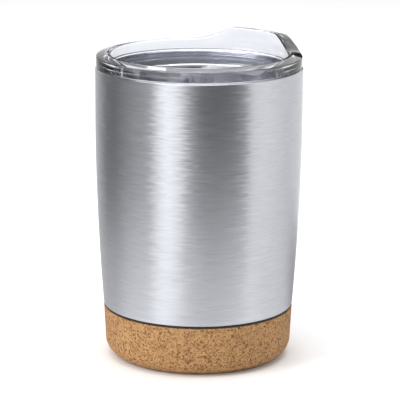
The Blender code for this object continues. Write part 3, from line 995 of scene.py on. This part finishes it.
def slider_top(x):
    """The closure's upper side: a ramp up to the thumb ridge, and a thumb hollow behind it."""
    if x >= RIDGE_AT:
        return RIDGE_TOP + (END_TOP - RIDGE_TOP) * (x - RIDGE_AT) / (SLIDER_HIGH.x - RIDGE_AT)
    if x >= HOLLOW_AT:
        share = (RIDGE_AT - x) / (RIDGE_AT - HOLLOW_AT)
        return HOLLOW_TOP + (RIDGE_TOP - HOLLOW_TOP) * (0.5 + 0.5 * math.cos(math.pi * share))
    return TAIL_TOP + (HOLLOW_TOP - TAIL_TOP) * (x - SLIDER_LOW.x) / (HOLLOW_AT - SLIDER_LOW.x)


def slider_half_width(x):
    """Widest at the drinking hole, straight behind the ridge, and round at the tail."""
    if x >= RIDGE_AT:
        share = (x - RIDGE_AT) / (SLIDER_HIGH.x - RIDGE_AT)
        return SLIDER_HALF_WIDTH + (SLIDER_HIGH.y - SLIDER_HALF_WIDTH) * share
    inset = max(0.0, SLIDER_LOW.x + TAIL_CORNER - x)
    return SLIDER_HALF_WIDTH - TAIL_CORNER + math.sqrt(max(TAIL_CORNER**2 - inset**2, 0.0))


def slider_loop(x):
    """The closure's section at x: flat below, with round upper edges and a round front end."""
    side, top = slider_half_width(x), slider_top(x)
    past = max(0.0, x - (SLIDER_HIGH.x - SLIDER_EDGE)) / SLIDER_EDGE
    top -= SLIDER_EDGE * (1 - math.sqrt(max(0.0, 1 - past**2)))
    half = [(side, SLIDER_FLOOR), *arc((side - SLIDER_EDGE, top - SLIDER_EDGE), SLIDER_EDGE, 0, 90, 5)]
    return [(x, y, z) for y, z in half] + [(x, -y, z) for y, z in reversed(half)]


def soft_block(name, low, high, radius, material):
    """A block with well rounded edges."""
    bm = bmesh.new()
    bmesh.ops.create_cube(bm, size=1.0)
    for vert in bm.verts:
        vert.co = [low[k] + (vert.co[k] + 0.5) * (high[k] - low[k]) for k in range(3)]
    bmesh.ops.bevel(bm, geom=bm.edges[:], offset=radius, segments=5, affect="EDGES", profile=0.5)
    mesh = bpy.data.meshes.new(name)
    bm.to_mesh(mesh)
    bm.free()
    mesh.materials.append(material)
    return linked(name, mesh)


class CUP_OT_slide_closure(bpy.types.Operator):
    """Builds the slide closure with its ramp, thumb ridge, knob and stem, and finishes its clip"""

    bl_idname = "travel_cup.slide_closure"
    bl_label = "Slide Closure"

    def execute(self, context):
        plastic = bpy.data.materials["clear_plastic"]
        tail, end = SLIDER_LOW.x, SLIDER_HIGH.x - SLIDER_EDGE
        quarter = [math.pi / 2 * share for share in spaced(0.0, 1.0, 12)]
        stations = [tail + TAIL_CORNER * (1 - math.cos(turn)) for turn in quarter]
        stations += spaced(tail + 5.0 * MM, HOLLOW_AT, 6)
        stations += spaced(HOLLOW_AT, RIDGE_AT, 10)[1:]
        stations += spaced(RIDGE_AT + 0.3 * MM, end, 12)
        stations += [end + SLIDER_EDGE * math.sin(turn) for turn in quarter[3::3]]
        closure = lofted("slide_closure", [slider_loop(x) for x in stations], plastic)
        for low, high, radius in (KNOB, STEM, BARB):
            cut_or_join(closure, soft_block("closure_tool", low, high, radius, plastic), "UNION")
        settle(closure)
        belong(closure, "closure", "clear_plastic", "slider")
        refinish("slider_clip", plastic)
        return {"FINISHED"}


# ---------------------------------------------------------------- stage


def aim(target, place, towards, roll=0.0):
    """Stands an object at a place, looking along its -Z towards a point."""
    look = (Vector(towards) - Vector(place)).to_track_quat("-Z", "Y")
    turn = Matrix.Rotation(roll, 4, "Z")
    target.matrix_world = Matrix.Translation(place) @ look.to_matrix().to_4x4() @ turn


def around(azimuth, distance, height):
    """A place round the cup, by degrees from the camera's side, positive to the camera's right."""
    angle = math.radians(azimuth) + math.atan2(CAMERA_PLACE[1], CAMERA_PLACE[0])
    return Vector((distance * math.cos(angle), distance * math.sin(angle), height))


def softbox(name, azimuth, distance, height, size, power):
    """A rectangular soft light that faces the cup."""
    data = bpy.data.lights.new(name, "AREA")
    data.shape = "RECTANGLE"
    data.size, data.size_y = size
    data.energy = power
    made = bpy.data.objects.new(name, data)
    bpy.context.scene.collection.objects.link(made)
    aim(made, around(azimuth, distance, height), LIGHT_TARGET)
    return made


def reflection_card(name, foot, head, bands, seen_through_lid=False, climb=1.0):
    """A ring-shaped card that only reflections show, from its foot to its head, each (distance, height).

    The bands are (degrees from the camera, brightness) pairs. The head is climb times as bright as the foot.
    """
    start, end = bands[0][0], bands[-1][0]
    bm = bmesh.new()
    rows = []
    for azimuth in spaced(start, end, CARD_STEPS):
        rows.append([bm.verts.new(around(azimuth, *edge)) for edge in (foot, head)])
    layer = bm.loops.layers.uv.new("across")
    for i, (here, there) in enumerate(zip(rows, rows[1:])):
        face = bm.faces.new((here[0], there[0], there[1], here[1]))
        for loop, (u, v) in zip(face.loops, ((i, 0), (i + 1, 0), (i + 1, 1), (i, 1))):
            loop[layer].uv = (u / CARD_STEPS, v)
    mesh = bpy.data.meshes.new(name)
    bm.to_mesh(mesh)
    bm.free()
    made = linked(name, mesh)
    material = bpy.data.materials.new(name)
    material.use_nodes = True
    tree = material.node_tree
    tree.nodes.clear()
    across = add_node(tree, "ShaderNodeUVMap", uv_map="across").outputs[0]
    along, up = add_node(tree, "ShaderNodeSeparateXYZ", {0: across}).outputs[:2]
    most = max(value for _, value in bands)
    stops = [((azimuth - start) / (end - start), (value / most,) * 3) for azimuth, value in bands]
    shade = ramp(tree, along, stops)
    strength = between(tree, up, most, most * climb)
    glow = add_node(tree, "ShaderNodeEmission", {"Color": shade, "Strength": strength}).outputs[0]
    add_node(tree, "ShaderNodeOutputMaterial", {"Surface": glow})
    mesh.materials.append(material)
    made.visible_camera = made.visible_diffuse = made.visible_shadow = False
    made.visible_transmission = seen_through_lid


class CUP_OT_stage(bpy.types.Operator):
    """Sets up the pale floor, the soft lights and the camera"""

    bl_idname = "travel_cup.stage"
    bl_label = "Stage"

    def execute(self, context):
        scene = context.scene
        scene.view_settings.view_transform = "Standard"
        floor_mesh = bpy.data.meshes.new("floor")
        bm = bmesh.new()
        bmesh.ops.create_circle(bm, cap_ends=True, segments=96, radius=FLOOR_RADIUS)
        bm.to_mesh(floor_mesh)
        bm.free()
        floor = linked("floor", floor_mesh)
        floor_mesh.materials.append(plain_finish("pale_floor", *PALE_FLOOR))

        world = bpy.data.worlds.new("studio")
        world.use_nodes = True
        background = world.node_tree.nodes["Background"]
        background.inputs["Color"].default_value = SKY_COLOUR
        background.inputs["Strength"].default_value = SKY_STRENGTH
        scene.world = world

        key = softbox("key_softbox", azimuth=-60, distance=0.9, height=0.5, size=(0.5, 0.9), power=6.0)
        key.visible_glossy = False
        softbox("top_softbox", azimuth=150, distance=0.1, height=1.4, size=(1.2, 1.2), power=12.0)
        reflection_card("studio_wall", *STUDIO_CARD, STUDIO_BANDS)
        reflection_card("studio_table", *TABLE_CARD, TABLE_BANDS)
        reflection_card("backdrop", *BACKDROP_CARD, BACKDROP_BANDS, seen_through_lid=True, climb=HEAD_GAIN)
        reflection_card("horizon", *HORIZON_CARD, HORIZON_BANDS, seen_through_lid=True)

        data = bpy.data.cameras.new("camera")
        data.lens = CAMERA_LENS
        data.clip_start = CAMERA_CLIP
        camera = bpy.data.objects.new("camera", data)
        scene.collection.objects.link(camera)
        heading = math.atan2(-CAMERA_PLACE[1], -CAMERA_PLACE[0]) + CAMERA_YAW
        ahead = Vector((math.cos(heading), math.sin(heading), math.tan(CAMERA_PITCH)))
        aim(camera, CAMERA_PLACE, Vector(CAMERA_PLACE) + ahead, CAMERA_ROLL)
        scene.camera = camera
        return {"FINISHED"}


class CUP_PT_panel(bpy.types.Panel):
    """Lists the cup's sizes, colours and pieces"""

    bl_label = "Travel Cup"
    bl_idname = "CUP_PT_panel"
    bl_space_type = "VIEW_3D"
    bl_region_type = "UI"
    bl_category = "Travel Cup"

    def draw(self, context):
        for group in (context.scene.travel_cup, context.scene.travel_cup_lid):
            column = self.layout.column()
            for name in group.__annotations__:
                column.prop(group, name)
        for operator in OPERATORS:
            self.layout.operator(operator.bl_idname)


OPERATORS = (
    CUP_OT_outer_shell,
    CUP_OT_liner,
    CUP_OT_cork_base,
    CUP_OT_hidden_pieces,
    CUP_OT_lid_moulding,
    CUP_OT_lid_seal,
    CUP_OT_slide_closure,
    CUP_OT_stage,
)


def register():
    """Adds the add-on's classes and the scene's settings."""
    for kind in (CupSettings, LidSettings, *OPERATORS, CUP_PT_panel):
        bpy.utils.register_class(kind)
    bpy.types.Scene.travel_cup = bpy.props.PointerProperty(type=CupSettings)
    bpy.types.Scene.travel_cup_lid = bpy.props.PointerProperty(type=LidSettings)


def unregister():
    """Removes what register added."""
    del bpy.types.Scene.travel_cup_lid
    del bpy.types.Scene.travel_cup
    for kind in reversed((CupSettings, LidSettings, *OPERATORS, CUP_PT_panel)):
        bpy.utils.unregister_class(kind)


def main():
    """Builds every piece and the stage."""
    register()
    for old in [o for o in bpy.data.objects if o.type in ("CAMERA", "LIGHT") or o.name == "Cube"]:
        bpy.data.objects.remove(old)
    bpy.ops.travel_cup.outer_shell()
    bpy.ops.travel_cup.liner()
    bpy.ops.travel_cup.cork_base()
    bpy.ops.travel_cup.hidden_pieces()
    bpy.ops.travel_cup.lid_moulding()
    bpy.ops.travel_cup.lid_seal()
    bpy.ops.travel_cup.slide_closure()
    bpy.ops.travel_cup.stage()


if __name__ == "__main__":
    main()
